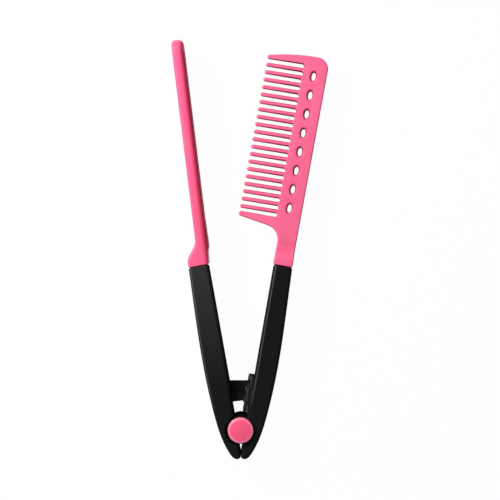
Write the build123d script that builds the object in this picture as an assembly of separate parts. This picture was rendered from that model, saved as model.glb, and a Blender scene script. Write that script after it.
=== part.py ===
from build123d import *
import os
from math import acos, cos, degrees, pi, radians, sin, sqrt

os.makedirs("parts", exist_ok=True)

# A V-shaped straightening comb that closes like a pair of tongs. One arm carries a
# comb, the other a slotted loop that the comb's teeth pass through when it closes.
#
# The row frame has the hinge axis on Z, +Y up the V, and z = 0 as the rear face that
# the tool lies on. Each arm is drawn upright in an arm frame: pivot at the origin, +Y
# up the arm, +X outward from the V. The comb arm then leans right, and the loop arm is
# mirrored and leans left. The tool is drawn open, with its two stop faces together.

# ------------------------------------------------------------ stance, mm and degrees
OPEN_HALF = 10.4        # lean of each arm when the tool is open
CLOSED_TRAVEL = 18.0    # swing of the comb arm from open to closed
DEPTH = 18.0            # rear face to front face of both handles
MOVING_GAP = 0.3        # between pieces that pass each other
SEAT_GAP = 0.02         # between pieces that bear on each other
FAR = 60.0              # past the edge of any one piece, for cuts that go right through

# ------------------------------------------------------------ handles
HANDLE_TOP = 99.3       # height of the end face that a blade stands on
COMB_EDGE_TOP = 1.9     # the comb arm's inner edge: its distance from the pivot line, at the top
COMB_EDGE_LOW = 2.55    # and above the tongue
LOOP_EDGE_TOP = 1.35    # the same on the loop arm
LOOP_EDGE_LOW = 1.6
EDGE_HINGE = 2.2        # and below the tongue, both arms
EDGE_TURN_HIGH = 27.0   # from here down the inner edge turns to its line below the tongue
EDGE_TURN_LOW = 15.0
COMB_OUTER_TOP = 12.85  # the comb arm's outer edge: its distance from the pivot line, at the top
LOOP_OUTER_TOP = 13.15
OUTER_GRIP = 15.05      # and at the widest part of the grip, both arms
OUTER_HINGE = 13.5      # and beside the hinge
OUTER_TAIL = 9.3        # and at the tail's shoulder
GRIP_HEIGHT = 42.0      # height of the widest part of the grip
HINGE_HEIGHT = 7.0      # height at which the outer edge passes the hinge
TAIL_HEIGHT = -12.1     # height of the tail's shoulder
TAIL_RADIUS = 1.9       # round lower corner of the tail
SLIT_EDGE = 2.75        # the inner edge's distance from the pivot line below the hinge
SLIT_HEIGHT = -10.3
STOP_TOP = -14.4        # the stop face that meets the other tail
STOP_LOW = -15.4
WALL = 2.2              # front, rear and outer walls of the moulding
HANDLE_ROUND = 2.0      # rounding of the long edges
END_ROUND = 0.5         # rounding of the end face's edges
CHANNEL_TOP = 73.0      # the inner side is open below this height
COMB_CHANNEL_LOW = 3.0
LOOP_CHANNEL_LOW = 14.0
SOCKET_FLOOR = 77.5     # floor of the closed socket that holds a blade's tang
RIB_COUNT = 3           # cross ribs in the open channel
FIRST_RIB = 40.0
RIB_PITCH = 11.0
RIB_THICKNESS = 1.4
RIB_SETBACK = 3.0       # from the rim of the open channel

# ------------------------------------------------------------ hinge
EAR_RADIUS = 8.2        # the comb handle's two ears, and the barrel between them
EAR_THICKNESS = 3.8
EAR_ROUND = 0.6
EAR_FACE_GAP = 0.2      # between an ear and the barrel's end
BARREL_RELIEF = 0.4     # radial room round the barrel inside the comb handle
EAR_RELIEF = 1.2        # radial room round the ears inside the loop handle
PAD_RADIUS = 10.1       # thick pads that tie the ears to the comb handle's walls
BARREL_BORE = 6.4       # houses the spring
BARREL_FLOOR = 2.0      # end wall that turns on the pin
SPIGOT_LENGTH = 0.7     # the front ear's spigot, which turns in the barrel's bore
SPIGOT_CLEARANCE = 0.08
PIN_RADIUS = 2.5
PIN_CLEARANCE = 0.08
PIN_HEAD_RADIUS = 4.5
PIN_HEAD_THICKNESS = 2.0
PIN_HEAD_CLEARANCE = 0.1
PIN_CHAMFER = 0.3
CAP_RADIUS = 7.6
CAP_THICKNESS = 2.6
CAP_DOME = 0.6          # rise of the cap's face from its rim to its middle
CAP_RIM_ROUND = 0.9
CAP_STEM_RADIUS = 4.0
CAP_STEM_LENGTH = 1.8
PIN_IN_CAP = 1.4        # length of the pin inside the cap's stem

# ------------------------------------------------------------ torsion spring
WIRE = 1.2
COIL_RADIUS = 4.9       # to the middle of the wire
COIL_GAP = 0.07         # between one turn and the next
LEG_ANGLE = 55.0        # from the row's X axis to a leg, open, one leg on either side
LEG_LENGTH = 15.6
LEG_SLACK = 0.4         # on the unloaded side of the fixed leg's slot
WINDOW_SLACK = 5.0      # degrees of room beside the moving leg
SEAT_LENGTH = 5.0       # the rib that the moving leg bears on
SEAT_DEPTH = 6.0

# ------------------------------------------------------------ guide tongue
TONGUE_LOW = 16.0       # the lower edge's nearest distance to the hinge axis
TONGUE_SLOPE = 7.0      # rise of the lower edge toward the comb arm, in degrees
TONGUE_HIGH = 28.0      # height of the straight upper edge
TONGUE_OUTER = 28.7     # radius that rounds the tongue's tip off
TONGUE_THICKNESS = 3.2
TONGUE_TIP = 3.2        # the tip's reach past the comb arm's pivot line, open
TONGUE_RIB_LOW = 16.5   # the rib runs from here, beside the lower edge
TONGUE_RIB_HIGH = 21.6  # up to this height
TONGUE_RIB_THICKNESS = 6.8

# ------------------------------------------------------------ lock slider
SLIDER_TRAVEL = 3.0
SLIDER_LOW = 10.5
SLIDER_HIGH = 32.1
SLIDER_PROUD = 2.95     # how far it stands out of the comb handle's rim
SLIDER_BULGE = 1.2      # the thumb pad stands out this much more
SLIDER_BACK = 6.4
SLIDER_BAR = 1.7        # thickness of the lower cross-bar
SLIDER_CHEEK = 2.5      # thickness of each side plate
SLIDER_ROUND = 0.5
PAD_LOW = 17.0
PAD_HIGH = 25.2
PAD_RISE = 1.5          # height over which the pad's lower end slopes out
GROOVE_RADIUS = 0.4
GROOVE_PITCH = 1.6
GROOVE_COUNT = 4
TAB_LOW = 26.0          # above here the slider is shallower and stands out more
TAB_THINNING = 1.2
TAB_PROUD = 0.2
PAWL_WIDTH = 1.6
PAWL_THICKNESS = 4.0
LUG_X = 4.4
LUG_WIDTH = 2.0
LUG_HEIGHT = 5.0
LUG_LOW = 19.0
LUG_REACH = 0.9

# ------------------------------------------------------------ blades, tangs and screws
COLLAR_HEIGHT = 0.8     # shadow groove between a blade's base and its handle
COLLAR_INSET = 5.0      # depth of that groove from the front and from the rear
COLLAR_SIDE = 0.4       # and from the sides
TANG_LENGTH = 20.0
TANG_CLEARANCE = 0.15
TANG_CHAMFER = 1.0
SCREW_BELOW_TOP = 9.8   # from the handle's top to the screw
SCREW_HEAD_RADIUS = 2.6
SCREW_HEAD_DEPTH = 1.3
SCREW_RECESS = 0.3      # the head lies this far below the rear face
SCREW_RADIUS = 1.4
SCREW_LENGTH = 12.0
SCREW_CLEARANCE = 0.15
DRIVE_WIDTH = 0.7       # cross-shaped drive recess
DRIVE_SPAN = 3.0
DRIVE_DEPTH = 0.8

# ------------------------------------------------------------ comb blade, arm frame
SPINE_OUTER = 12.75     # outer edge of the spine
SPINE_THICKNESS = 3.6
COMB_ROUND = 0.8
COMB_TOP = 226.4
COMB_CORNER = 7.0
GAP_BOTTOM = -1.5       # where the gaps between the teeth end
TOOTH_TIP = -24.4
TIP_THICKNESS = 1.8
TIP_ROUND = 1.1         # length of the rounded end of a tooth
TAPER_START = 0.8       # from here to the tips the comb thins
TOOTH_COUNT = 20
TOOTH_PITCH = 4.535
FIRST_TOOTH = 130.67    # height of the first tooth's tip
TOOTH_LEAN = 1.2        # the teeth slant down to their tips
TOOTH_ROOT_WIDTH = 2.55
TOOTH_TIP_WIDTH = 2.45
TOOTH_ROOT_THICKNESS = 3.2
TOOTH_ROUNDNESS = 0.94  # corner radius of a tooth's section, as a share of half its smaller side
TOP_GUARD_TIP = 222.9   # height where the top edge turns round the guard's tip
TOP_GUARD_GAP = 220.25  # height of the guard's lower side at its tip
TOP_GUARD_RISE = 0.65   # how much higher that side is at the plate
LOW_GUARD_TIP = 124.7
LOW_GUARD_GAP = 127.75  # height of the guard's upper side
LOW_GUARD_ELBOW = 122.1     # height where the guard's lower edge begins to turn down
ELBOW_X = -6.0
SHOULDER_SETBACK = 1.2  # from a guard's tip to where its outer edge begins to turn
NECK_INNER = 1.4
NECK_TURN_END = 113.0
NECK_DEPTH = 15.0
NECK_FLARE_LOW = 102.5
HOLE_COUNT = 8
HOLE_PITCH = 11.47
FIRST_HOLE = 134.3
HOLE_X = 5.05
HOLE_HALF_WIDTH = 1.27
HOLE_HALF_LENGTH = 2.48
HOLE_ROUND = 1.6

# ------------------------------------------------------------ loop blade
BAR_TOE = 3.4           # the bar leans this much toward the comb, from the arm
BAR_INNER = 6.1         # the bar's comb-side face, measured square to its own lean
BAR_WIDTH = 7.1
BAR_TOP = 235.0
BAR_ROUND = 2.0
SLOT_WIDTH = 7.0
SLOT_LOW = 119.5
SLOT_ROUND = 0.8
EASE_ACROSS = 3.0       # the comb side of each rail is eased to an elliptic round
EASE_DEEP = 4.2
EASE_STEPS = 5
BASE_OUTER = 13.1
BASE_INNER = 1.0
BASE_HIGH = 101.8       # the wide base ends here and its shoulder begins
SHOULDER_OUT = 11.1     # two points that the shoulder passes through
SHOULDER_OUT_HIGH = 107.2
SHOULDER_IN = 7.5
SHOULDER_IN_HIGH = 111.9
SHOULDER_HIGH = 116.0   # the shoulder has turned into the bar here
FLARE = 0.6             # the bar's comb side swells this much toward its base
FLARE_HIGH = 128.0
FLARE_LOW = 110.8
KNEE_INNER = 0.2        # and steps back to here above the base
KNEE_HIGH = 107.2
KNEE_ROUND = 1.3

MID = DEPTH / 2
BASE_LOW = HANDLE_TOP + COLLAR_HEIGHT
BARREL_LOW = EAR_THICKNESS + EAR_FACE_GAP
BARREL_HIGH = DEPTH - BARREL_LOW
COIL_START = BARREL_LOW + BARREL_FLOOR + MOVING_GAP + WIRE / 2
LEG_ARM_ANGLE = LEG_ANGLE + OPEN_HALF
LEG_START = LEG_ANGLE - 90
PART_TURN = 2 * LEG_START + 180
COIL_ROOM = BARREL_HIGH - SPIGOT_LENGTH - MOVING_GAP - WIRE / 2 - COIL_START
WHOLE_TURNS = int(COIL_ROOM / (WIRE + COIL_GAP) - PART_TURN / 360)
COIL_SWEEP = PART_TURN + 360 * WHOLE_TURNS
COIL_HEIGHT = (WIRE + COIL_GAP) * COIL_SWEEP / 360
LEG_DROP = LEG_LENGTH * (WIRE + COIL_GAP) / (2 * pi * COIL_RADIUS)
COMB_EDGES = (COMB_EDGE_TOP, COMB_EDGE_LOW, COMB_OUTER_TOP)
LOOP_EDGES = (LOOP_EDGE_TOP, LOOP_EDGE_LOW, LOOP_OUTER_TOP)
PAWL_TOP = sqrt((TONGUE_LOW - MOVING_GAP)**2 - SLIDER_BACK**2)
SCREW_X = (COMB_EDGE_TOP + COMB_OUTER_TOP) / 2
SCREW_HEIGHT = HANDLE_TOP - SCREW_BELOW_TOP
SLIDER_SIDE = WALL + MOVING_GAP
TOOTH_GAP = (TOOTH_PITCH - TOOTH_ROOT_WIDTH) / 2
PLATE_EDGE = GAP_BOTTOM - TOOTH_GAP


# ------------------------------------------------------------ helpers
def block(x0, x1, y0, y1, z0, z1):
    """A box between two corners."""
    return Pos((x0 + x1) / 2, (y0 + y1) / 2, (z0 + z1) / 2) * Box(x1 - x0, y1 - y0, z1 - z0)


def disc(radius, z0, z1, x=0.0, y=0.0):
    """A cylinder along Z between two heights."""
    return Pos(x, y, (z0 + z1) / 2) * Cylinder(radius, z1 - z0)


def slab(outline, z0, z1):
    """A closed outline in XY made into a plate between two heights."""
    return Pos(0, 0, z0) * extrude(make_face(outline), z1 - z0)


def through_x(outline):
    """A closed outline drawn in YZ, made into a long prism along X."""
    return extrude(Plane.YZ * make_face(outline), FAR, both=True)


def flat_edges(solid, *heights):
    """The edges that lie flat at the given heights."""
    return [e for z in heights for e in solid.edges().filter_by_position(Axis.Z, z - 0.01, z + 0.01)]


def comb_side(shape):
    """From the arm frame to the open tool, comb arm."""
    return Rot(0, 0, -OPEN_HALF) * shape


def loop_side(shape):
    """From the arm frame to the open tool, loop arm."""
    return Rot(0, 0, OPEN_HALF) * mirror(shape, Plane.YZ)


def inner_edge(edges, y):
    """A handle's inner edge at a height above the tongue, in the arm frame."""
    top, low, _ = edges
    return low + (top - low) * (y - EDGE_TURN_HIGH) / (HANDLE_TOP - EDGE_TURN_HIGH)


def stop_x(y):
    """Where the row's plane x = 0 lies in the arm frame, plus a seat gap."""
    return (SEAT_GAP - y * sin(radians(OPEN_HALF))) / cos(radians(OPEN_HALF))


# ------------------------------------------------------------ screws
def screw_head(radius):
    """The countersunk head with a shank of the given radius below it."""
    cone = Pos(0, 0, SCREW_HEAD_DEPTH / 2) * Cone(SCREW_HEAD_RADIUS, SCREW_RADIUS, SCREW_HEAD_DEPTH)
    return Pos(SCREW_X, SCREW_HEIGHT, SCREW_RECESS) * (cone + disc(radius, 0, SCREW_LENGTH))


def screw_hole():
    """The hole through a handle's rear wall: a recess, a countersink and a clearance hole."""
    hole = screw_head(SCREW_RADIUS + SCREW_CLEARANCE) & block(-FAR, FAR, 0, HANDLE_TOP, 0, WALL)
    return hole + disc(SCREW_HEAD_RADIUS, 0, SCREW_RECESS, SCREW_X, SCREW_HEIGHT)


def blade_screw():
    """A countersunk self-tapping screw from the rear, with a cross-shaped drive recess."""
    screw = screw_head(SCREW_RADIUS)
    screw = chamfer(flat_edges(screw, SCREW_RECESS + SCREW_LENGTH), SCREW_RADIUS / 2)
    half, span = DRIVE_WIDTH / 2, DRIVE_SPAN / 2
    place = Pos(SCREW_X, SCREW_HEIGHT, SCREW_RECESS)
    cross = block(-half, half, -span, span, 0, DRIVE_DEPTH) + block(-span, span, -half, half, 0, DRIVE_DEPTH)
    return screw - place * cross


# ------------------------------------------------------------ handles
def outer_points(edges, inset=0.0):
    """A handle's outer edge from its top to beside the hinge, moved in by inset."""
    return [
        (edges[2] - inset, HANDLE_TOP),
        (OUTER_GRIP - inset, GRIP_HEIGHT),
        (OUTER_HINGE - inset, HINGE_HEIGHT),
    ]


def handle_outline(edges):
    """A handle's outline, with a tail below the hinge that ends in the stop face."""
    lean = radians(OPEN_HALF)
    middle = (stop_x(STOP_LOW) + TAIL_RADIUS * cos(lean), STOP_LOW + TAIL_RADIUS * sin(lean))
    corner = CenterArc(middle, TAIL_RADIUS, 180 + OPEN_HALF, 90 - OPEN_HALF)
    tail = (OUTER_TAIL, TAIL_HEIGHT)
    outer = Spline(*outer_points(edges), tail, corner @ 1, tangents=[(0.04, -1), (-1, 0)])
    inner = Polyline(
        corner @ 0,
        (stop_x(STOP_TOP), STOP_TOP),
        (SLIT_EDGE, SLIT_HEIGHT),
        (EDGE_HINGE, -EAR_RADIUS),
        (EDGE_HINGE, EDGE_TURN_LOW),
        (inner_edge(edges, EDGE_TURN_HIGH), EDGE_TURN_HIGH),
        (inner_edge(edges, HANDLE_TOP), HANDLE_TOP),
        (edges[2], HANDLE_TOP),
    )
    return outer.edges() + corner.edges() + inner.edges()


def handle_room(edges):
    """All the space between the front, rear and outer walls, open to the inner side."""
    low = -STOP_LOW
    wall = Spline(*outer_points(edges, WALL), tangents=[(0.04, -1), (-0.12, -1)])
    rest = Polyline(wall @ 1, ((wall @ 1).X, -low), (-low, -low), (-low, HANDLE_TOP), wall @ 0)
    return slab(wall.edges() + rest.edges(), WALL, DEPTH - WALL)


def handle_shell(edges, channel_low):
    """A handle without its hinge: an open channel below a closed socket for the tang."""
    room = handle_room(edges)
    body = slab(handle_outline(edges), 0, DEPTH)
    rims = [e for e in flat_edges(body, 0, DEPTH) if e.center().Y < HANDLE_TOP - 0.01]
    body = fillet(rims, HANDLE_ROUND)
    body = fillet(body.edges().filter_by_position(Axis.Y, HANDLE_TOP - 0.01, HANDLE_TOP + 0.01), END_ROUND)
    channel = room & block(-FAR, FAR, channel_low, CHANNEL_TOP, 0, DEPTH)
    socket = room & block(edges[0] + WALL, FAR, SOCKET_FLOOR, HANDLE_TOP, 0, DEPTH)
    body -= [channel, socket]
    half = RIB_THICKNESS / 2
    for i in range(RIB_COUNT):
        y = FIRST_RIB + RIB_PITCH * i
        body += room & block(inner_edge(edges, y) + RIB_SETBACK, FAR, y - half, y + half, 0, DEPTH)
    return body - screw_hole()


def leg_frame():
    """A place at the start of a spring leg, +X along the leg and -Y its loaded side."""
    angle = radians(LEG_ARM_ANGLE - 90)
    return Pos(COIL_RADIUS * cos(angle), COIL_RADIUS * sin(angle), 0) * Rot(0, 0, LEG_ARM_ANGLE)


def comb_handle():
    """The comb arm's handle: two ears for the hinge, a spring seat and the slider's grooves."""
    body = handle_shell(COMB_EDGES, COMB_CHANNEL_LOW)
    pads = disc(PAD_RADIUS, WALL, EAR_THICKNESS) + disc(PAD_RADIUS, DEPTH - EAR_THICKNESS, DEPTH - WALL)
    body += pads & slab(handle_outline(COMB_EDGES), 0, DEPTH)
    body -= disc(EAR_RADIUS + BARREL_RELIEF, EAR_THICKNESS, DEPTH - EAR_THICKNESS)
    rear_ear = disc(EAR_RADIUS, 0, EAR_THICKNESS)
    front_ear = disc(EAR_RADIUS, DEPTH - EAR_THICKNESS, DEPTH)
    body += [fillet(flat_edges(rear_ear, 0), EAR_ROUND), fillet(flat_edges(front_ear, DEPTH), EAR_ROUND)]
    spigot_low = DEPTH - EAR_THICKNESS - SPIGOT_LENGTH
    body += disc(BARREL_BORE - SPIGOT_CLEARANCE, spigot_low, DEPTH - EAR_THICKNESS)
    seat_face = -WIRE / 2 - SEAT_GAP
    seat = leg_frame() * block(LEG_LENGTH - SEAT_LENGTH, LEG_LENGTH, seat_face - SEAT_DEPTH, seat_face, MID, DEPTH)
    body += seat & handle_room(COMB_EDGES)
    body -= disc(PIN_HEAD_RADIUS + PIN_HEAD_CLEARANCE, 0, PIN_HEAD_THICKNESS)
    body -= disc(PIN_RADIUS, 0, DEPTH)
    body -= disc(CAP_STEM_RADIUS, DEPTH - CAP_STEM_LENGTH, DEPTH)
    reach = LUG_WIDTH / 2 + MOVING_GAP
    low = LUG_LOW - MOVING_GAP
    high = LUG_LOW + LUG_HEIGHT + SLIDER_TRAVEL + MOVING_GAP
    body -= block(LUG_X - reach, LUG_X + reach, low, high, WALL - LUG_REACH, DEPTH - WALL + LUG_REACH)
    return comb_side(body)


def tongue_band(low, high, thickness):
    """A bar across the V from a sloping lower edge, that distance from the hinge, to a height."""
    reach = 2 * TONGUE_OUTER
    bar = block(-reach, reach, -reach, high, MID - thickness / 2, MID + thickness / 2)
    above = Rot(0, 0, TONGUE_SLOPE) * block(-reach, reach, low, reach, 0, DEPTH)
    return bar & above & disc(TONGUE_OUTER, 0, DEPTH)


def guide_tongue():
    """The tongue that slides into the comb handle, thick below and notched for the pawl."""
    band = tongue_band(TONGUE_LOW, TONGUE_HIGH, TONGUE_THICKNESS)
    rib = tongue_band(TONGUE_RIB_LOW, TONGUE_RIB_HIGH, TONGUE_RIB_THICKNESS)
    reach = 2 * TONGUE_OUTER
    inside = slab(handle_outline(LOOP_EDGES), 0, DEPTH) + block(-reach, EDGE_HINGE + WALL, 0, reach, 0, DEPTH)
    tongue = (band + rib) & loop_side(inside) & comb_side(block(-reach, TONGUE_TIP, 0, reach, 0, DEPTH))
    notch_low = SLIDER_BACK - PAWL_WIDTH - MOVING_GAP
    notch_top = PAWL_TOP + SLIDER_TRAVEL + 2 * MOVING_GAP
    notch = block(notch_low, SLIDER_BACK + MOVING_GAP, 0, notch_top, 0, DEPTH)
    return tongue - Rot(0, 0, CLOSED_TRAVEL - OPEN_HALF) * notch


def leg_window():
    """The sector of the barrel's wall that the spring's moving leg swings through."""
    near, far = COIL_RADIUS + WIRE / 2, COIL_RADIUS - WIRE / 2
    start = LEG_START + degrees(acos(near / BARREL_BORE)) - WINDOW_SLACK
    end = LEG_START + degrees(acos(far / EAR_RADIUS)) + CLOSED_TRAVEL + WINDOW_SLACK
    arc = CenterArc((0, 0), EAR_RADIUS + 1, start, end - start)
    outline = arc.edges() + Polyline(arc @ 1, (0, 0), arc @ 0).edges()
    return slab(outline, COIL_START + COIL_HEIGHT - WIRE / 2 - MOVING_GAP, BARREL_HIGH)


def loop_handle():
    """The loop arm's handle: the hinge barrel that houses the spring, and the guide tongue."""
    body = handle_shell(LOOP_EDGES, LOOP_CHANNEL_LOW)
    relief = EAR_RADIUS + EAR_RELIEF
    body -= [disc(relief, 0, BARREL_LOW), disc(relief, BARREL_HIGH, DEPTH)]
    body += disc(EAR_RADIUS, BARREL_LOW, BARREL_HIGH)
    body -= disc(BARREL_BORE, BARREL_LOW + BARREL_FLOOR, BARREL_HIGH)
    body -= disc(PIN_RADIUS + PIN_CLEARANCE, BARREL_LOW, BARREL_HIGH)
    loaded = -WIRE / 2 - SEAT_GAP
    slot_low = COIL_START - WIRE / 2 - LEG_DROP - MOVING_GAP
    slot = block(0, LEG_LENGTH + LEG_SLACK, loaded, WIRE / 2 + LEG_SLACK, slot_low, BARREL_HIGH)
    body -= leg_frame() * slot
    return loop_side(body) - leg_window() + guide_tongue()


# ------------------------------------------------------------ hinge pieces
def hinge_pin():
    """The steel pin, its flat head flush with the rear face."""
    end = DEPTH - CAP_STEM_LENGTH + PIN_IN_CAP
    pin = disc(PIN_HEAD_RADIUS, 0, PIN_HEAD_THICKNESS) + disc(PIN_RADIUS, 0, end)
    return chamfer(flat_edges(pin, 0, end), PIN_CHAMFER)


def front_hinge_cap():
    """The domed cap, its stem pressed into the front ear and over the pin's end."""
    rim = DEPTH + CAP_THICKNESS - CAP_DOME
    low = DEPTH - CAP_STEM_LENGTH
    curve = ((CAP_RADIUS**2 + CAP_DOME**2) / (2 * CAP_DOME))
    dome = Pos(0, 0, rim + CAP_DOME - curve) * Sphere(curve)
    cap = disc(CAP_RADIUS, DEPTH, DEPTH + CAP_THICKNESS) & dome
    cap = fillet(cap.edges().filter_by_position(Axis.Z, rim - 0.01, rim + 0.01), CAP_RIM_ROUND)
    return cap + disc(CAP_STEM_RADIUS, low, DEPTH) - disc(PIN_RADIUS, low, low + PIN_IN_CAP)


def torsion_spring():
    """A coil in the barrel with one leg on each arm, wound tighter as the tool closes."""
    coil = Helix(WIRE + COIL_GAP, COIL_HEIGHT, COIL_RADIUS)
    coil = Pos(0, 0, COIL_START) * Rot(0, 0, 180 - LEG_START) * coil
    section = Plane(coil @ 0, z_dir=coil % 0) * Circle(WIRE / 2)
    wound = sweep(section, path=coil, is_frenet=True)
    first_leg = extrude(section, -LEG_LENGTH)
    last_leg = extrude(Plane(coil @ 1, z_dir=coil % 1) * Circle(WIRE / 2), LEG_LENGTH)
    return wound + first_leg + last_leg


# ------------------------------------------------------------ lock slider
def lock_slider():
    """The slider in the comb handle's channel; its pawl enters the tongue's notch."""
    face = EDGE_HINGE - SLIDER_PROUD
    pad = face - SLIDER_BULGE
    outline = FilletPolyline(
        (SLIDER_BACK, SLIDER_LOW),
        (face, SLIDER_LOW),
        (face, PAD_LOW - PAD_RISE),
        (pad, PAD_LOW),
        (pad, PAD_HIGH),
        (face - TAB_PROUD, PAD_HIGH + SLIDER_BULGE / 2),
        (face - TAB_PROUD, SLIDER_HIGH),
        (SLIDER_BACK, SLIDER_HIGH),
        radius=SLIDER_ROUND,
        close=True,
    )
    low, high = SLIDER_SIDE, DEPTH - SLIDER_SIDE
    body = slab(outline.edges(), low, high)
    middle = (PAD_LOW + PAD_HIGH) / 2 - GROOVE_PITCH * (GROOVE_COUNT - 1) / 2
    body -= [disc(GROOVE_RADIUS, low, high, pad, middle + GROOVE_PITCH * i) for i in range(GROOVE_COUNT)]
    body -= block(-FAR, FAR, TAB_LOW, SLIDER_HIGH, low, low + TAB_THINNING)
    body -= block(-FAR, FAR, TAB_LOW, SLIDER_HIGH, high - TAB_THINNING, high)
    window_high = TONGUE_OUTER + 2 * MOVING_GAP
    body -= block(-FAR, FAR, SLIDER_LOW + SLIDER_BAR, window_high, low + SLIDER_CHEEK, high - SLIDER_CHEEK)
    half = PAWL_THICKNESS / 2
    body += block(SLIDER_BACK - PAWL_WIDTH, SLIDER_BACK, SLIDER_LOW + 1, PAWL_TOP, MID - half, MID + half)
    lug = (LUG_X - LUG_WIDTH / 2, LUG_X + LUG_WIDTH / 2, LUG_LOW, LUG_LOW + LUG_HEIGHT)
    body += [block(*lug, low - LUG_REACH, low), block(*lug, high, high + LUG_REACH)]
    return comb_side(body)


# ------------------------------------------------------------ blades
def on_tang(blade, edges):
    """A blade with the collar and tang below its base, and the pilot hole for its screw."""
    inner, _, outer = edges
    across = (inner + COLLAR_SIDE, outer - COLLAR_SIDE)
    collar = block(*across, HANDLE_TOP, BASE_LOW, COLLAR_INSET, DEPTH - COLLAR_INSET)
    gap = WALL + TANG_CLEARANCE
    low = HANDLE_TOP - TANG_LENGTH
    stem = block(inner + gap, outer - gap, low, HANDLE_TOP, gap, DEPTH - gap)
    stem = chamfer(stem.faces().sort_by(Axis.Y)[0].edges(), TANG_CHAMFER)
    return blade + collar + stem - disc(SCREW_RADIUS, 0, SCREW_RECESS + SCREW_LENGTH, SCREW_X, SCREW_HEIGHT)


def tooth_section(x, width, thickness):
    """A tooth's section across the arm, almost an ellipse."""
    corner = TOOTH_ROUNDNESS * min(width, thickness) / 2
    return Plane((x, 0, MID), x_dir=(0, 1, 0), z_dir=(-1, 0, 0)) * RectangleRounded(width, thickness, corner)


def tooth(number):
    """A slim tooth that points to -X from the plate's edge and is rounded at its tip."""
    start = PLATE_EDGE + 1
    end = TOOTH_TIP + TIP_ROUND
    sections = [
        tooth_section(start, TOOTH_ROOT_WIDTH, TOOTH_ROOT_THICKNESS),
        tooth_section(end, TOOTH_TIP_WIDTH, TIP_THICKNESS),
        tooth_section(TOOTH_TIP + TIP_ROUND / 4, TOOTH_TIP_WIDTH * 0.72, TIP_THICKNESS * 0.72),
        tooth_section(TOOTH_TIP, TOOTH_TIP_WIDTH * 0.34, TIP_THICKNESS * 0.34),
    ]
    shape = loft(sections, ruled=True)
    return tooth_place(number) * Pos(-TOOTH_TIP, 0, 0) * shape


def tooth_place(number):
    """The place of a tooth's tip, with +X along the tooth to its root."""
    return Pos(TOOTH_TIP, FIRST_TOOTH + TOOTH_PITCH * number, 0) * Rot(0, 0, TOOTH_LEAN)


def gap_end(number):
    """The round end of the gap below a tooth."""
    return tooth_place(number - 0.5) * disc(TOOTH_GAP, 0, DEPTH, PLATE_EDGE - TOOTH_TIP)


def comb_outline():
    """The comb blade's plan without its slim teeth: spine, two thick guards and the neck."""
    tip = TOOTH_TIP + TIP_ROUND
    shoulder = TOOTH_TIP + SHOULDER_SETBACK
    spine = Polyline((NECK_INNER, BASE_LOW), (SPINE_OUTER, BASE_LOW), (SPINE_OUTER, COMB_TOP - COMB_CORNER))
    corner = CenterArc((SPINE_OUTER - COMB_CORNER, COMB_TOP - COMB_CORNER), COMB_CORNER, 0, 90)
    top = TangentArc(corner @ 1, (shoulder, TOP_GUARD_TIP), tangent=(-1, 0))
    top_tip = ThreePointArc(
        (shoulder, TOP_GUARD_TIP),
        (TOOTH_TIP, (TOP_GUARD_TIP + TOP_GUARD_GAP) / 2),
        (tip, TOP_GUARD_GAP),
    )
    gaps = Polyline(
        (tip, TOP_GUARD_GAP),
        (PLATE_EDGE, TOP_GUARD_GAP + TOP_GUARD_RISE),
        (PLATE_EDGE, LOW_GUARD_GAP),
        (tip, LOW_GUARD_GAP),
    )
    low_tip = ThreePointArc(
        (tip, LOW_GUARD_GAP),
        (TOOTH_TIP, (LOW_GUARD_TIP + LOW_GUARD_GAP) / 2),
        (shoulder, LOW_GUARD_TIP),
    )
    under = Line((shoulder, LOW_GUARD_TIP), (ELBOW_X, LOW_GUARD_ELBOW))
    turn = TangentArc(under @ 1, (NECK_INNER, NECK_TURN_END), tangent=under % 1)
    neck = Line(turn @ 1, (NECK_INNER, BASE_LOW))
    pieces = (spine, corner, top, top_tip, gaps, low_tip, under, turn, neck)
    return [e for piece in pieces for e in piece.edges()]


def comb_depth():
    """The comb blade's thickness along the arm: a thin plate that flares into its base."""
    plate = SPINE_THICKNESS / 2
    base = NECK_DEPTH / 2
    front = Spline((NECK_FLARE_LOW, MID + base), (NECK_TURN_END, MID + plate), tangents=[(1, 0), (1, 0)])
    rear = Spline((NECK_TURN_END, MID - plate), (NECK_FLARE_LOW, MID - base), tangents=[(-1, 0), (-1, 0)])
    beyond = COMB_TOP + 1
    far = Polyline(front @ 1, (beyond, MID + plate), (beyond, MID - plate), rear @ 0)
    near = Polyline(rear @ 1, (HANDLE_TOP, MID - base), (HANDLE_TOP, MID + base), front @ 0)
    return through_x(front.edges() + far.edges() + rear.edges() + near.edges())


def comb_taper():
    """The comb blade's thickness across the arm: the guards thin down to their tips."""
    plate = SPINE_THICKNESS / 2
    tip = TIP_THICKNESS / 2
    outline = Polyline(
        (SPINE_OUTER + 1, DEPTH),
        (TAPER_START, DEPTH),
        (TAPER_START, MID + plate),
        (TOOTH_TIP - 1, MID + tip),
        (TOOTH_TIP - 1, MID - tip),
        (TAPER_START, MID - plate),
        (TAPER_START, 0),
        (SPINE_OUTER + 1, 0),
        close=True,
    )
    return extrude(Plane.XZ * make_face(outline.edges()), -COMB_TOP - 1)


def comb_rims(blade):
    """The comb blade's front and rear outer edges, without its creases and its base."""
    creases = (BASE_LOW, NECK_FLARE_LOW, NECK_TURN_END)
    rims = []
    for edge in blade.edges():
        middle, along = edge.center(), edge % 0.5
        upright = abs(along.Z) > 0.9
        crease = abs(along.X) > 0.99 and min(abs(middle.Y - y) for y in creases) < 0.01
        if not (upright or crease or abs(middle.X - TAPER_START) < 0.01):
            rims.append(edge)
    return rims


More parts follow.
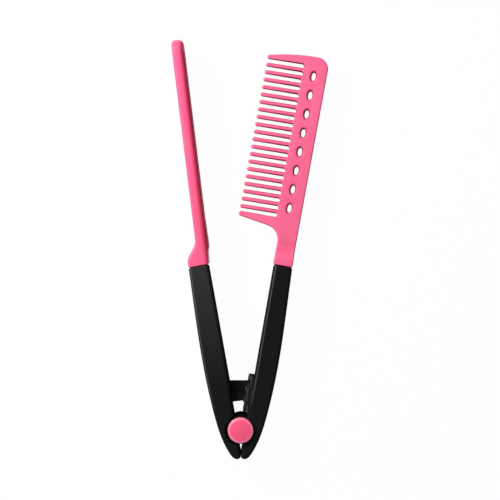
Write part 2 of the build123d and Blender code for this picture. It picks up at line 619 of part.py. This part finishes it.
def comb_blade():
    """The comb: spine with a row of oval holes, slim teeth, two guards and a flared neck."""
    blade = slab(comb_outline(), 0, DEPTH) & comb_depth() & comb_taper()
    blade = fillet(comb_rims(blade), COMB_ROUND)
    oval = extrude(Ellipse(HOLE_HALF_WIDTH, HOLE_HALF_LENGTH), DEPTH)
    blade -= [Pos(HOLE_X, FIRST_HOLE + HOLE_PITCH * i, 0) * oval for i in range(HOLE_COUNT)]
    plate = SPINE_THICKNESS / 2
    ovals = [e for e in flat_edges(blade, MID - plate, MID + plate) if e.is_closed]
    blade = fillet(ovals, HOLE_ROUND)
    blade -= [gap_end(i) for i in range(TOOTH_COUNT + 1)]
    blade += [tooth(i) for i in range(TOOTH_COUNT)]
    return comb_side(on_tang(blade, COMB_EDGES))


def bar_point(x, y):
    """A point of the upright bar's own frame, in the arm frame."""
    toe = radians(BAR_TOE)
    return (x * cos(toe) - y * sin(toe), x * sin(toe) + y * cos(toe))


def loop_outline():
    """The loop blade's plan: the leaning bar, and a base that swells out in an S-curve."""
    outer = BAR_INNER + BAR_WIDTH
    foot = bar_point(outer, SHOULDER_HIGH)
    curve = ((SHOULDER_OUT, SHOULDER_OUT_HIGH), (SHOULDER_IN, SHOULDER_IN_HIGH))
    shoulder = Spline((BASE_OUTER, BASE_HIGH), *curve, foot, tangents=[(0, 1), bar_point(0, 1)])
    beyond = BAR_TOP + 1
    inner = FilletPolyline(
        bar_point(BAR_INNER, beyond),
        bar_point(BAR_INNER, FLARE_HIGH),
        bar_point(BAR_INNER - FLARE, FLARE_LOW),
        (KNEE_INNER, KNEE_HIGH),
        (BASE_INNER, BASE_LOW),
        radius=KNEE_ROUND,
    )
    top = Polyline(foot, bar_point(outer, beyond), inner @ 0)
    low = Polyline(inner @ 1, (BASE_OUTER, BASE_LOW), (BASE_OUTER, BASE_HIGH))
    return shoulder.edges() + top.edges() + inner.edges() + low.edges()


def round_bar(half, low, x):
    """A face across X with parallel sides above low and a round top, centred on mid-depth."""
    top = CenterArc((BAR_TOP - MID, MID), half, 90, -180)
    sides = Polyline(top @ 1, (low, MID - half), (low, MID + half), top @ 0)
    return Plane.YZ.offset(x) * make_face(top.edges() + sides.edges())


def bar_envelope():
    """The room inside the bar's front and rear faces and the elliptic rounds on its comb side."""
    low = BASE_LOW - DEPTH
    across = EASE_ACROSS + FLARE
    sections = []
    for i in range(EASE_STEPS + 1):
        angle = pi / 2 * i / EASE_STEPS
        half = MID - EASE_DEEP * (1 - sin(angle))
        sections.append(round_bar(half, low, BAR_INNER - FLARE + across * (1 - cos(angle))))
    return loft(sections, ruled=True) + extrude(sections[-1], DEPTH)


def loop_rims(blade):
    """The loop blade's front, rear and top edges on the side away from the comb."""
    rims = []
    for edge in blade.edges():
        middle = edge.center().rotate(Axis.Z, -BAR_TOE)
        upright = edge.geom_type == GeomType.LINE and abs((edge % 0.5).Z) > 0.9
        outer = middle.X > BAR_INNER + BAR_WIDTH - 0.01 and edge.center().Y > BASE_LOW + 0.01
        if outer and not upright:
            rims.append(edge)
    return rims


def slot_rims(blade):
    """The edges where the slot opens on the bar's two faces."""
    half = SLOT_WIDTH / 2 + 0.01
    rims = []
    for edge in blade.edges():
        box = edge.bounding_box()
        inside = box.min.Z > MID - half and box.max.Z < MID + half
        if inside and abs((edge % 0.5).X) < 0.9:
            rims.append(edge)
    return rims


def loop_blade():
    """The loop: a bar on a swollen base, with a slot that the comb's teeth pass through."""
    blade = slab(loop_outline(), 0, DEPTH) & Rot(0, 0, BAR_TOE) * bar_envelope()
    blade = fillet(loop_rims(blade), BAR_ROUND)
    ends = (SLOT_LOW + SLOT_WIDTH / 2, BAR_TOP - MID)
    slot = Plane.YZ * Pos(sum(ends) / 2, MID) * SlotCenterToCenter(ends[1] - ends[0], SLOT_WIDTH)
    blade -= Rot(0, 0, BAR_TOE) * extrude(slot, DEPTH)
    blade = fillet(slot_rims(blade), SLOT_ROUND)
    return loop_side(on_tang(blade, LOOP_EDGES))


# ------------------------------------------------------------ all the pieces
pieces = {
    "comb_blade": comb_blade(),
    "comb_handle": comb_handle(),
    "comb_blade_screw": comb_side(blade_screw()),
    "hinge_pin": hinge_pin(),
    "front_hinge_cap": front_hinge_cap(),
    "lock_slider": lock_slider(),
    "loop_blade": loop_blade(),
    "loop_handle": loop_handle(),
    "loop_blade_screw": loop_side(blade_screw()),
    "torsion_spring": torsion_spring(),
}
for name, piece in pieces.items():
    export_step(piece, f"parts/{name}.step")
    print(name, piece.is_valid, len(piece.solids()), round(piece.volume, 1))
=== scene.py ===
import math

import bpy
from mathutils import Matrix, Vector


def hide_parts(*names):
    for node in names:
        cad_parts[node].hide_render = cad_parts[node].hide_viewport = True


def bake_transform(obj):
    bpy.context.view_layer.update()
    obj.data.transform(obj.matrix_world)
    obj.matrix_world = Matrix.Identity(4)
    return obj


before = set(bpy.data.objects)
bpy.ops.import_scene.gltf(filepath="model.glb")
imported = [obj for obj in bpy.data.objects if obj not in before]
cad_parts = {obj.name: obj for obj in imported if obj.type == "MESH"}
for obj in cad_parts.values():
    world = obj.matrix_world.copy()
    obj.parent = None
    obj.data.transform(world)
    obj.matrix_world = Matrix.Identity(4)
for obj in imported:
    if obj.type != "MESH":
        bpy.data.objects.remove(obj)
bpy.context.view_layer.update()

scene = bpy.context.scene

# Lengths are in metres.
MM = 0.001
LEAN = math.radians(10.4)           # of each arm from the middle line, at rest

# ------------------------------------------------------------ colours, linear
WHITE = (1.0, 1.0, 1.0)
COMB_PINK = (0.93, 0.150, 0.300)
COMB_PINK_LOW = (0.89, 0.132, 0.268)
PAINTED_SHADE_CRIMSON = (0.36, 0.08, 0.12)        # painted shade, multiplied into the comb's pink in its crevices
LOOP_PINK = (0.92, 0.122, 0.266)
LOOP_PINK_LOW = (0.89, 0.110, 0.242)
PAINTED_SHADE_PINK = (0.93, 0.058, 0.162)    # painted shade on the loop's edges that face the comb arm
CAP_PINK = (0.98, 0.072, 0.205)
PAINTED_HIGHLIGHT_PINK = (0.98, 0.30, 0.44)      # painted highlight: the ring inside the cap's edge
BLACK = (0.0030, 0.0029, 0.0032)
# The grey that the black turns towards; on the loop handle it is a painted sheen rising to the
# top.
GREYED_BLACK = (0.0280, 0.0276, 0.0284)
# Painted highlight: pale random marks on the slider.
PAINTED_GLINT_GREY = (0.065, 0.064, 0.065)
STEEL = (0.46, 0.46, 0.48)

# ------------------------------------------------------------ numbers of the materials
PLASTIC_IOR = 1.45

# Noise scales, in waves a metre
PINK_CLOUDS = 28.0
PINK_RIPPLE = 120.0
PINK_PATCHES = 210.0                # of smoother and rougher skin
PINK_GRAIN = 2600.0
HANDLE_RUBBING = 46.0
# Scale of the slider's pale marks, a painted highlight.
SLIDER_GLINT_SCALE = 150.0
BLACK_RIPPLE = 70.0
BLACK_PATCHES = 90.0
BLACK_GRAIN = 1500.0
STEEL_CLOUDS = 160.0
STEEL_RINGS = 900.0

PINK_GLOSS = 0.16
CREVICE = 8 * MM                    # how near another face must stand for the painted crevice shade
CLOSED = 0.72                       # share of open sky at which the painted crevice shade is deepest
RING_FROM = 5.8 * MM                # radii on the cap between which the painted highlight makes the pink paler
RING_TO = 7.8 * MM

BLACK_GLOSS = 0.06
GLOSSY_FACING = 0.8                 # the normal's Z from which black has its full gloss
GRIP_LOW = 25 * MM                  # height over the hinge where the grips clear the tongue
GRIP_TOP = 100 * MM                 # height of the grips' upper ends over the hinge
SHINE_FROM = 10 * MM                # height at which the painted highlight on the grips' edges begins

# Weights along a value, as stops of (value, weight)
RING_WEIGHT = [(0.0, 0.0), (0.4, 0.55), (0.8, 0.55), (1.0, 0.0)]        # across the painted highlight ring
PAINTED_SHADE_WEIGHT = [(0.02, 0.0), (0.28, 1.0), (0.90, 1.0), (1.0, 0.0)]       # painted shade, by the normal's X
SHINE_WEIGHT = [(0.20, 0.0), (0.38, 1.0), (0.52, 1.0), (0.72, 0.0)]     # painted highlight, by the normal's -X

# A Mix node's sockets for colours
MIX_WEIGHT, MIX_FIRST, MIX_SECOND, MIX_RESULT = 0, 6, 7, 2


# ------------------------------------------------------------ node helpers
def feed(tree, socket, value):
    """A socket's value, linked from another node's output or set on the socket itself."""
    if isinstance(value, bpy.types.NodeSocket):
        tree.links.new(value, socket)
    else:
        socket.default_value = value


def fill(tree, node, **values):
    """A node's attributes and sockets, given by name."""
    for name, value in values.items():
        if hasattr(node, name):
            setattr(node, name, value)
        else:
            feed(tree, node.inputs[name.replace("_", " ")], value)


def add(tree, kind, *in_order, **by_name):
    """A node with its first sockets filled in order, and other sockets and attributes by name."""
    node = tree.nodes.new(kind)
    fill(tree, node, **by_name)
    for socket, value in zip(node.inputs, in_order):
        feed(tree, socket, value)
    return node


def coordinates(tree, scale=(1.0, 1.0, 1.0), turn=0.0):
    """Object coordinates, turned so that Y runs along a leaning arm, then scaled."""
    mapping = add(
        tree,
        "ShaderNodeMapping",
        vector_type="TEXTURE",
        Vector=add(tree, "ShaderNodeTexCoord").outputs["Object"],
        Scale=tuple(1.0 / s for s in scale),
        Rotation=(0.0, 0.0, -turn),
    )
    return mapping.outputs["Vector"]


def facing(tree):
    """The X, Y and Z of the object's own surface normal."""
    normal = add(tree, "ShaderNodeTexCoord").outputs["Normal"]
    return add(tree, "ShaderNodeSeparateXYZ", normal).outputs


def noise(tree, vector, scale, detail=2.0, roughness=0.5):
    """A noise texture's value."""
    node = add(
        tree, "ShaderNodeTexNoise", Vector=vector, Scale=scale, Detail=detail, Roughness=roughness
    )
    return node.outputs["Fac"]


def ramp(tree, value, stops):
    """A colour ramp along a value, with stops of (value, colour)."""
    node = add(tree, "ShaderNodeValToRGB", Fac=value)
    elements = node.color_ramp.elements
    while len(elements) < len(stops):
        elements.new(0.5)
    for element, (position, colour) in zip(elements, stops):
        element.position = position
        element.color = (*colour, 1.0)
    return node.outputs["Color"]


def weights(tree, value, stops):
    """A weight along a value, with stops of (value, weight)."""
    return ramp(tree, value, [(position, (weight,) * 3) for position, weight in stops])


def spread(tree, value, low, high, first=0.0, last=1.0):
    """A value that runs from first to last, spread out from low to high."""
    node = add(
        tree,
        "ShaderNodeMapRange",
        Value=value,
        From_Min=first,
        From_Max=last,
        To_Min=low,
        To_Max=high,
    )
    return node.outputs["Result"]


def calculated(tree, operation, *values):
    """The result of a Math node."""
    return add(tree, "ShaderNodeMath", *values, operation=operation).outputs["Value"]


def mixed(tree, colour, other, weight, blend_type="MIX"):
    """A colour with another one mixed into it by a weight."""
    node = add(tree, "ShaderNodeMix", data_type="RGBA", blend_type=blend_type)
    feed(tree, node.inputs[MIX_WEIGHT], weight)
    feed(tree, node.inputs[MIX_FIRST], colour)
    feed(tree, node.inputs[MIX_SECOND], other)
    return node.outputs[MIX_RESULT]


def bumps(tree, *layers):
    """A normal with bumps laid over one another: (height value, depth in metres, strength)."""
    normal = None
    for height, depth, strength in layers:
        node = add(tree, "ShaderNodeBump", Height=height, Distance=depth, Strength=strength)
        if normal is not None:
            tree.links.new(normal, node.inputs["Normal"])
        normal = node.outputs["Normal"]
    return normal


def darker(colour, share):
    """A colour with a share of its light left."""
    return tuple(channel * share for channel in colour)


# ------------------------------------------------------------ materials
def new_material(name):
    """A material with its tree and its Principled shader."""
    material = bpy.data.materials.new(name)
    material.use_nodes = True
    tree = material.node_tree
    return material, tree, tree.nodes["Principled BSDF"]


def painted_crevice_shade(tree, shade):
    """Painted shade: where other faces stand close, the colour turns a deep red and the gloss
    goes.
    """
    node = add(
        tree, "ShaderNodeAmbientOcclusion", samples=16, only_local=True, Distance=CREVICE
    )
    open_sky = node.outputs["AO"]
    crevice_shade = ramp(tree, open_sky, [(CLOSED, PAINTED_SHADE_CRIMSON), (1.0, WHITE)])
    return {
        "Base_Color": mixed(tree, shade, crevice_shade, 1.0, blend_type="MULTIPLY"),
        "Specular_IOR_Level": spread(tree, open_sky, 0.0, PINK_GLOSS, first=CLOSED),
    }


def painted_shade_on_edges(tree, shade):
    """Painted shade: on the rounded edges that face the comb arm, the colour turns deeper."""
    weight = weights(tree, facing(tree)["X"], PAINTED_SHADE_WEIGHT)
    return {"Base_Color": mixed(tree, shade, (*PAINTED_SHADE_PINK, 1.0), weight)}


def painted_highlight_ring(tree, shade):
    """A painted highlight: in a ring round the hinge axis, just inside the cap's edge, the colour
    turns paler.
    """
    flat = add(
        tree, "ShaderNodeVectorMath", coordinates(tree), (1.0, 1.0, 0.0), operation="MULTIPLY"
    )
    radius = add(tree, "ShaderNodeVectorMath", flat.outputs["Vector"], operation="LENGTH")
    across = spread(tree, radius.outputs["Value"], 0.0, 1.0, first=RING_FROM, last=RING_TO)
    weight = weights(tree, across, RING_WEIGHT)
    return {"Base_Color": mixed(tree, shade, (*PAINTED_HIGHLIGHT_PINK, 1.0), weight)}


def pink_plastic(name, light, low, turn, change, rough=(0.34, 0.46), coat=0.03):
    """Moulded pink plastic: faint clouding along the flow, a satin skin with fine grain.

    change is the function that says what differs on this piece.
    """
    material, tree, shader = new_material(name)
    flow = coordinates(tree, scale=(3.0, 1.0, 1.0), turn=turn)
    even = coordinates(tree)
    clouds = noise(tree, flow, PINK_CLOUDS, detail=3.0, roughness=0.6)
    patches = noise(tree, even, PINK_PATCHES)
    ripple = noise(tree, even, PINK_RIPPLE, detail=1.0)
    grain = noise(tree, even, PINK_GRAIN)
    fill(
        tree,
        shader,
        Roughness=spread(tree, patches, *rough),
        Normal=bumps(tree, (ripple, 0.12 * MM, 0.12), (grain, 0.01 * MM, 0.10)),
        IOR=PLASTIC_IOR,
        Specular_IOR_Level=PINK_GLOSS,
        Subsurface_Weight=0.16,
        Subsurface_Radius=(1.0, 0.22, 0.35),
        Subsurface_Scale=1.2 * MM,
        Coat_Weight=coat,
        Coat_Roughness=0.16,
    )
    shade = ramp(tree, clouds, [(0.32, low), (0.68, light)])
    fill(tree, shader, **change(tree, shade))
    return material


def black_plastic(
    name, turn, grey_low, grey_high, full_grey=GREYED_BLACK, rubs_and_glints=0.03, marks_scale=HANDLE_RUBBING
):
    """Matte black plastic with faint rub marks, dull side walls and a painted highlight on its
    left edges.

    grey_low and grey_high say how grey it is at GRIP_LOW and GRIP_TOP; on the loop handle the
    rise towards the top is a painted sheen. The depth and scale of random marks add to that or
    take
    from it: faint rub marks on the handles, pale marks as a painted highlight on the slider.
    """
    material, tree, shader = new_material(name)
    along = coordinates(tree, scale=(7.0, 1.0, 3.0), turn=turn)
    even = coordinates(tree)
    height = add(tree, "ShaderNodeSeparateXYZ", even).outputs["Y"]
    normal = facing(tree)

    # Random marks: faint rub marks on the handles, pale marks as a painted highlight on the
    # slider.
    marks = noise(tree, along, marks_scale, detail=4.0, roughness=0.62)
    marks = spread(tree, marks, -rubs_and_glints, rubs_and_glints, first=0.3, last=0.7)
    # On the loop handle this greyness rises towards the top as a painted sheen.
    greyness = spread(tree, height, grey_low, grey_high, first=GRIP_LOW, last=GRIP_TOP)
    greyness = calculated(tree, "ADD", marks, greyness)

    patches = noise(tree, along, BLACK_PATCHES, detail=3.0)
    ripple = noise(tree, even, BLACK_RIPPLE, detail=1.0)
    grain = noise(tree, even, BLACK_GRAIN, detail=3.0, roughness=0.6)

    flatness = calculated(tree, "ABSOLUTE", normal["Z"])
    # A coat only on the edges that face -X gives them a painted highlight.
    leftward = spread(tree, normal["X"], 0.0, 1.0, last=-1.0)
    edge = weights(tree, leftward, SHINE_WEIGHT)
    gripped = spread(tree, height, 0.0, 1.0, first=SHINE_FROM, last=GRIP_LOW)
    fill(
        tree,
        shader,
        Base_Color=ramp(tree, greyness, [(0.0, BLACK), (1.0, full_grey)]),
        Roughness=spread(tree, patches, 0.66, 0.78),
        Normal=bumps(tree, (ripple, 0.15 * MM, 0.10), (grain, 0.03 * MM, 0.35)),
        IOR=PLASTIC_IOR,
        Specular_IOR_Level=BLACK_GLOSS,
        Coat_Weight=calculated(tree, "MULTIPLY", edge, gripped),
        Coat_Roughness=0.30,
    )
    # The even gloss stays on the socket, under this link, for an export that drops the link.
    dulled = spread(tree, flatness, 0.0, BLACK_GLOSS, last=GLOSSY_FACING)
    fill(tree, shader, Specular_IOR_Level=dulled)
    return material


def plain_steel(name):
    """Drawn or turned steel: fine rings and faint clouding."""
    material, tree, shader = new_material(name)
    even = coordinates(tree)
    clouds = noise(tree, even, STEEL_CLOUDS, detail=3.0)
    rings = add(
        tree,
        "ShaderNodeTexWave",
        wave_type="RINGS",
        rings_direction="Z",
        Vector=even,
        Scale=STEEL_RINGS,
        Distortion=1.2,
        Detail=2.0,
    )
    fill(
        tree,
        shader,
        Base_Color=ramp(tree, clouds, [(0.35, darker(STEEL, 0.82)), (0.7, STEEL)]),
        Roughness=spread(tree, clouds, 0.24, 0.40),
        Normal=bumps(tree, (rings.outputs["Fac"], 0.01 * MM, 0.25)),
        Metallic=1.0,
    )
    return material


comb_pink = pink_plastic("comb_pink", COMB_PINK, COMB_PINK_LOW, LEAN, painted_crevice_shade)
loop_pink = pink_plastic("loop_pink", LOOP_PINK, LOOP_PINK_LOW, -LEAN, painted_shade_on_edges)
cap_pink = pink_plastic(
    "cap_pink", CAP_PINK, darker(CAP_PINK, 0.95), 0.0, painted_highlight_ring, rough=(0.30, 0.36), coat=1.0
)
comb_black = black_plastic("comb_black", LEAN, grey_low=0.14, grey_high=0.10)
# The loop handle's grey rising to its top is a painted sheen.
loop_black = black_plastic("loop_black", -LEAN, grey_low=0.13, grey_high=1.05)
# The slider's pale random marks are a painted highlight.
slider_black = black_plastic(
    "slider_black",
    LEAN,
    grey_low=0.20,
    grey_high=0.20,
    full_grey=PAINTED_GLINT_GREY,
    rubs_and_glints=1.5,
    marks_scale=SLIDER_GLINT_SCALE,
)
steel = plain_steel("steel")

FINISH = {
    "comb_blade": comb_pink,
    "loop_blade": loop_pink,
    "front_hinge_cap": cap_pink,
    "comb_handle": comb_black,
    "lock_slider": slider_black,
    "loop_handle": loop_black,
    "comb_blade_screw": steel,
    "loop_blade_screw": steel,
    "hinge_pin": steel,
    "torsion_spring": steel,
}
for node_name, finish in FINISH.items():
    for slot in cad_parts[node_name].material_slots:
        slot.material = finish


# ------------------------------------------------------------ torsion spring
COIL_RADIUS = 4.9 * MM              # to the middle of the wire
WIRE_RADIUS = 0.6 * MM
CUT_ROUNDING = 0.18                 # of the wire's cut ends, as a share of its radius
COIL_PITCH = 1.27 * MM
COIL_START = 6.9 * MM               # height of the coil's first turn
COIL_FROM = 215.0                   # degrees round the hinge axis where the coil starts
COIL_SWEEP = 1550.0                 # degrees that the coil turns through
LEG_LENGTH = 15.6 * MM


def spring_path(steps_a_turn, leg_steps):
    """The wire's middle line with its tangents: a leg, the coil and the other leg."""
    slope = COIL_PITCH / (2 * math.pi * COIL_RADIUS)

    def at(degrees):
        angle = math.radians(COIL_FROM + degrees)
        point = Vector((math.cos(angle), math.sin(angle), 0.0)) * COIL_RADIUS
        point.z = COIL_START + COIL_PITCH * degrees / 360.0
        along = Vector((-math.sin(angle), math.cos(angle), slope)).normalized()
        return point, along

    count = round(COIL_SWEEP / 360.0 * steps_a_turn)
    coil = [at(COIL_SWEEP * i / count) for i in range(count + 1)]
    first, last = coil[0], coil[-1]
    reach = [LEG_LENGTH * i / leg_steps for i in range(leg_steps, 0, -1)]
    before = [(first[0] - first[1] * r, first[1]) for r in reach]
    after = [(last[0] + last[1] * r, last[1]) for r in reversed(reach)]
    return before + coil + after


def tube(name, path, radius, sides, material):
    """A round wire along a path, with slightly rounded cut ends."""
    cut = CUT_ROUNDING * radius
    (start, start_along), (end, end_along) = path[0], path[-1]
    rings = [(start, start_along, radius - cut), (start + start_along * cut, start_along, radius)]
    rings += [(point, along, radius) for point, along in path[1:-1]]
    rings += [(end - end_along * cut, end_along, radius), (end, end_along, radius - cut)]
    verts, faces = [], []
    for point, along, ring_radius in rings:
        side = along.cross(Vector((0.0, 0.0, 1.0))).normalized()
        up = side.cross(along)
        for j in range(sides):
            turn = 2 * math.pi * j / sides
            verts.append(point + (side * math.cos(turn) + up * math.sin(turn)) * ring_radius)
    for i in range(len(rings) - 1):
        for j in range(sides):
            a, b = i * sides + j, i * sides + (j + 1) % sides
            faces.append((a, b, b + sides, a + sides))
    faces.append(tuple(range(sides)))
    faces.append(tuple(reversed(range(len(verts) - sides, len(verts)))))
    mesh = bpy.data.meshes.new(name)
    mesh.from_pydata(verts, [], faces)
    mesh.validate()
    for face in mesh.polygons:
        face.use_smooth = len(face.vertices) == 4
    mesh.materials.append(material)
    thing = bpy.data.objects.new(name, mesh)
    scene.collection.objects.link(thing)
    return thing


wire_line = spring_path(steps_a_turn=40, leg_steps=6)
spring = tube("wound_spring", wire_line, WIRE_RADIUS, sides=14, material=steel)
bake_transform(spring)
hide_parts("torsion_spring")


# ------------------------------------------------------------ floor and room
FLOOR_SIZE = 6.0
FLOOR_GREY = 0.22                   # colour of the diffuse floor, which takes the shadow
FLOOR_GLOW = 1.055                  # strength of the white that seen rays find on the floor
FLOOR_WHITENESS = 0.93              # its share of what they find, the rest being diffuse floor
ROOM_LIGHT = 0.08                   # strength of the room as light, where it is seen at 1


def seen_rays(tree):
    """1 for rays that show a backdrop: in the picture, in gloss or through glass. 0 for light."""
    rays = add(tree, "ShaderNodeLightPath").outputs
    seen = rays["Is Camera Ray"]
    for kind in ("Is Glossy Ray", "Is Transmission Ray"):
        seen = calculated(tree, "MAXIMUM", seen, rays[kind])
    return seen


def pale_floor():
    """A diffuse surface that seen rays find mostly white, and that still takes a shadow."""
    material = bpy.data.materials.new("pale_floor")
    material.use_nodes = True
    tree = material.node_tree
    tree.nodes.clear()
    grey = (FLOOR_GREY, FLOOR_GREY, FLOOR_GREY, 1.0)
    diffuse = add(tree, "ShaderNodeBsdfDiffuse", Color=grey).outputs["BSDF"]
    white = add(tree, "ShaderNodeEmission", Strength=FLOOR_GLOW).outputs["Emission"]
    share = calculated(tree, "MULTIPLY", seen_rays(tree), FLOOR_WHITENESS)
    surface = add(tree, "ShaderNodeMixShader", share, diffuse, white).outputs["Shader"]
    add(tree, "ShaderNodeOutputMaterial", Surface=surface)
    return material


def white_room():
    """An even room, dim as light and white where it is seen."""
    world = bpy.data.worlds.new("room")
    scene.world = world
    world.use_nodes = True
    tree = world.node_tree
    fill(
        tree,
        tree.nodes["Background"],
        Color=(*WHITE, 1.0),
        Strength=spread(tree, seen_rays(tree), ROOM_LIGHT, 1.0),
    )


# The floor lies just under the part's rear face.
bpy.ops.mesh.primitive_plane_add(size=FLOOR_SIZE, location=(0.0, 0.1, -0.2 * MM))
floor = bpy.context.object
floor.name = "floor"
floor.data.materials.append(pale_floor())
white_room()

# ------------------------------------------------------------ lamps
LAMPS_AIM = Vector((0.0, 0.11, 0.01))
LAMPS = {
    # name: place, side of the square, watts
    "key": (Vector((-0.72, 0.66, 0.62)), 0.36, 17.8),
    "sheen": (Vector((-0.20, 0.25, 0.95)), 0.25, 1.4),
}
for name, (place, size, power) in LAMPS.items():
    light = bpy.data.lights.new(name, "AREA")
    light.shape = "SQUARE"
    light.size = size
    light.energy = power
    lamp = bpy.data.objects.new(name, light)
    scene.collection.objects.link(lamp)
    lamp.location = place
    lamp.rotation_mode = "QUATERNION"
    lamp.rotation_quaternion = (LAMPS_AIM - place).to_track_quat("-Z", "Y")

# ------------------------------------------------------------ camera
VIEW_MIDDLE = (0.0055, 0.1063, 0.009)       # middle of the picture, on the comb's mid-plane
VIEW_DISTANCE = 0.550                       # from the camera to that plane
VIEW_WIDTH = 0.300                          # what the picture spans there
SENSOR_WIDTH = 36.0                         # millimetres, as Blender's lens is

camera = bpy.data.objects.new("camera", bpy.data.cameras.new("camera"))
scene.collection.objects.link(camera)
camera.data.sensor_width = SENSOR_WIDTH
camera.data.lens = SENSOR_WIDTH * VIEW_DISTANCE / VIEW_WIDTH
camera.data.clip_start = 0.01
camera.data.clip_end = 10.0
camera.location = Vector(VIEW_MIDDLE) + Vector((0.0, 0.0, VIEW_DISTANCE))
camera.rotation_euler = (0.0, 0.0, 0.0)
scene.camera = camera

scene.view_settings.view_transform = "Standard"
